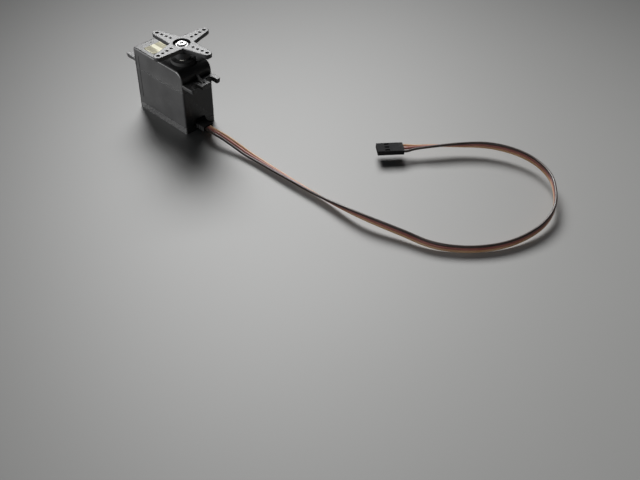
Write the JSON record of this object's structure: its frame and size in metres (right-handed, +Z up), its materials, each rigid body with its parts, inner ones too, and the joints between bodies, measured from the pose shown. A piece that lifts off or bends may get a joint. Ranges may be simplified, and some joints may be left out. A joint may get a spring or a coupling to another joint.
{
  "type": "hobby servo motor",
  "caption": "Standard-size hobby servo: black three-part case with slotted mounting ears, four-arm cross horn, geared motor and three-wire lead with a plug.",
  "frame": {"origin": "on the output shaft's axis, in the plane of the bottom cover's flat underside", "axes": "+Z up along the output shaft towards the horn; +X towards the end of the case where the lead leaves; +Y across the case, to the left of the lead's run"},
  "size_m": [0.2281, 0.1164, 0.0474],
  "materials": {
    "black_case_plastic": "semi-matte moulded nylon",
    "horn_plastic": "glossy moulded nylon",
    "gear_nylon": "satin",
    "white_nylon": "satin",
    "steel": "bright zinc plate",
    "brass": "satin",
    "sintered_bronze": "sintered, oiled",
    "copper": "enamelled wire",
    "core_iron": "stamped",
    "ferrite": "matte, sintered",
    "pot_plastic": "matte",
    "label_film": "pale gold film",
    "board_laminate": "solder resist",
    "chip_plastic": "matte",
    "ceramic": "matte",
    "capacitor_sleeve": "shrink sleeve",
    "resistive_track": "phenolic wafer",
    "rubber": "matte",
    "plug_plastic": "satin",
    "orange_insulation": "extruded vinyl",
    "red_insulation": "extruded vinyl",
    "brown_insulation": "extruded vinyl"
  },
  "bodies": {
    "servo_case": {"bottom_cover": "black_case_plastic", "bridge_chip": "chip_plastic", "cable_grommet": "rubber", "case_screw_1": "steel", "case_screw_2": "steel", "case_screw_3": "steel", "case_screw_4": "steel", "centre_gear_pin": "steel", "ceramic_capacitor": "ceramic", "circuit_board": "board_laminate", "control_chip": "chip_plastic", "electrolytic_capacitor": "capacitor_sleeve", "lead_brown": "brown_insulation", "lead_orange": "orange_insulation", "lead_red": "red_insulation", "lower_bush": "sintered_bronze", "middle_case": "black_case_plastic", "motor_brush_1": "copper", "motor_brush_2": "copper", "motor_can": "steel", "motor_end_cap": "white_nylon", "motor_front_bush": "brass", "motor_magnet_1": "ferrite", "motor_magnet_2": "ferrite", "motor_rear_bush": "brass", "motor_screw_1": "steel", "motor_screw_2": "steel", "motor_terminal_1": "brass", "motor_terminal_2": "brass", "plug_contact_1": "brass", "plug_contact_2": "brass", "plug_contact_3": "brass", "plug_housing": "plug_plastic", "pot_housing": "pot_plastic", "pot_terminal_1": "brass", "pot_terminal_2": "brass", "pot_terminal_3": "brass", "pot_track": "resistive_track", "rear_gear_pin": "steel", "top_cover": "black_case_plastic", "top_label": "label_film", "upper_bush": "sintered_bronze"},
    "output": {"output_gear": "gear_nylon", "servo_horn": "horn_plastic", "horn_screw": "steel", "pot_shaft": "steel", "pot_wiper": "brass"},
    "third_gear_stage": {"third_gear": "gear_nylon"},
    "second_gear_stage": {"second_gear": "gear_nylon"},
    "first_gear_stage": {"first_gear": "gear_nylon"},
    "motor_rotor": {"motor_pinion": "brass", "motor_shaft": "steel", "armature_core": "core_iron", "armature_winding_1": "copper", "armature_winding_2": "copper", "armature_winding_3": "copper", "commutator": "copper"}
  },
  "joints": [
    {"name": "output_turn", "type": "hinge", "parent": "servo_case", "child": "output", "pos_m": [0, 0, 0.0316], "axis": [0, 0, 1], "range_deg": [-90, 90]},
    {"name": "third_gear_spin", "type": "hinge", "parent": "servo_case", "child": "third_gear_stage", "pos_m": [-0.00968, -0.0015, 0.03], "axis": [0, 0, 1], "range_deg": [-351.35, 351.35]},
    {"name": "second_gear_spin", "type": "hinge", "parent": "servo_case", "child": "second_gear_stage", "pos_m": [-0.01659, 0.0019, 0.029], "axis": [0, 0, 1], "range_deg": [-1194.59, 1194.59]},
    {"name": "first_gear_spin", "type": "hinge", "parent": "servo_case", "child": "first_gear_stage", "pos_m": [-0.00968, -0.0015, 0.026], "axis": [0, 0, 1], "range_deg": [-4061.62, 4061.62]},
    {"name": "rotor_spin", "type": "hinge", "parent": "servo_case", "child": "motor_rotor", "pos_m": [-0.01777, 0, 0.015], "axis": [0, 0, 1], "range_deg": [-15027.99, 15027.99]}
  ],
  "couplings": [
    {"joint": "third_gear_spin", "follows": "output_turn", "ratio": -3.9},
    {"joint": "second_gear_spin", "follows": "output_turn", "ratio": 13.26},
    {"joint": "first_gear_spin", "follows": "output_turn", "ratio": -45.084},
    {"joint": "rotor_spin", "follows": "output_turn", "ratio": 166.81}
  ]
}
